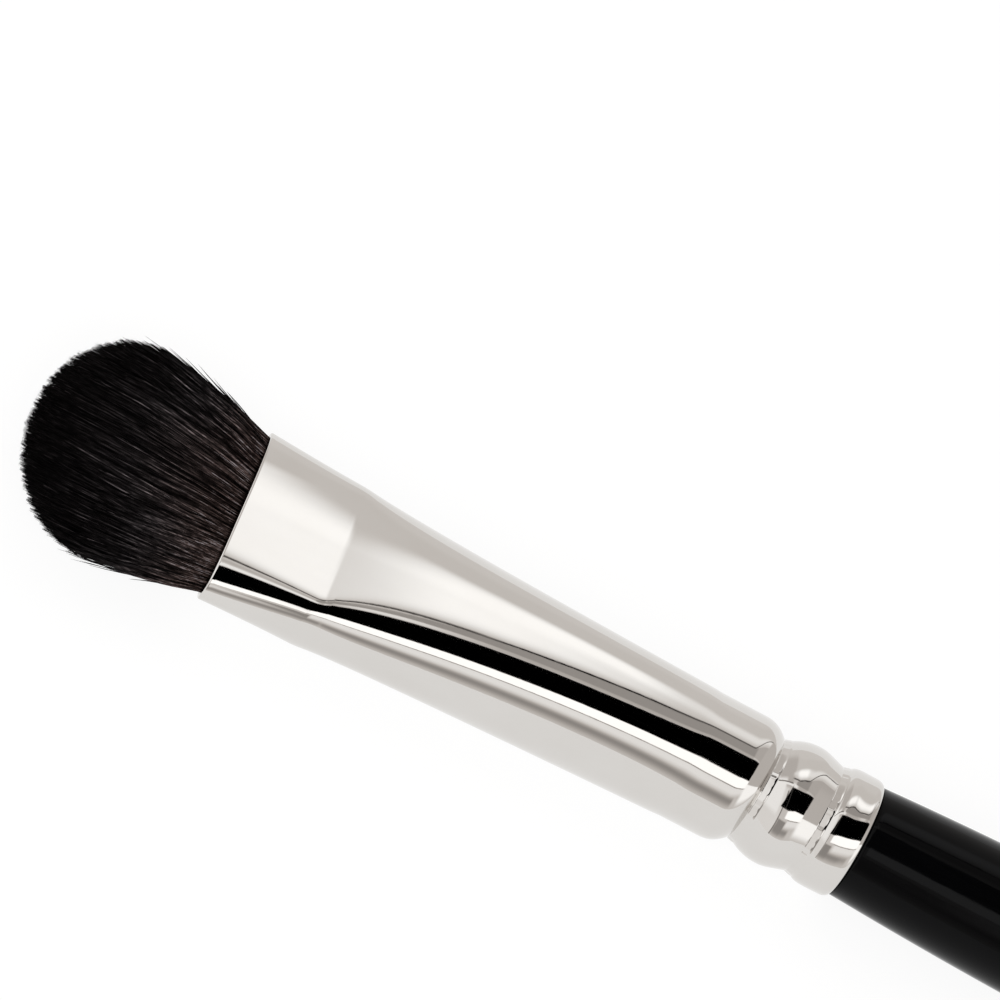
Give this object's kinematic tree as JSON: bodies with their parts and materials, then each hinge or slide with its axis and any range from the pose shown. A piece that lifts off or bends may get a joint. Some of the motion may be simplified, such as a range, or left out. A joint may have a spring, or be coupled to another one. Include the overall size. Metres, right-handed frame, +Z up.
{
  "type": "flat oval makeup brush",
  "caption": "Hand makeup brush with a flat oval hair tuft, a polished ferrule pressed flat at its mouth and crimped at the back, and a slim black lacquered handle.",
  "frame": {"origin": "centre of the box round the brush, on the surface that it lies on", "axes": "+X from the hair to the handle's end, +Y across the flat of the ferrule, +Z up, out of the ferrule's flat face"},
  "size_m": [0.1779, 0.0148, 0.0083],
  "materials": {
    "nickel": "polished bright nickel plate, slightly warm",
    "lacquer": "turned wood under smooth gloss black lacquer",
    "hair": "fine black-brown natural hair, browner towards the root",
    "thread": "undyed cotton thread",
    "resin": "set amber resin",
    "glue": "set pale glue"
  },
  "bodies": {
    "root": {"ferrule": "nickel", "handle": "lacquer", "hair_bottom_layer": "hair", "hair_lower_core": "hair", "hair_upper_core": "hair", "hair_top_layer": "hair", "root_binding": "thread", "root_resin": "resin", "handle_glue": "glue"}
  },
  "joints": []
}
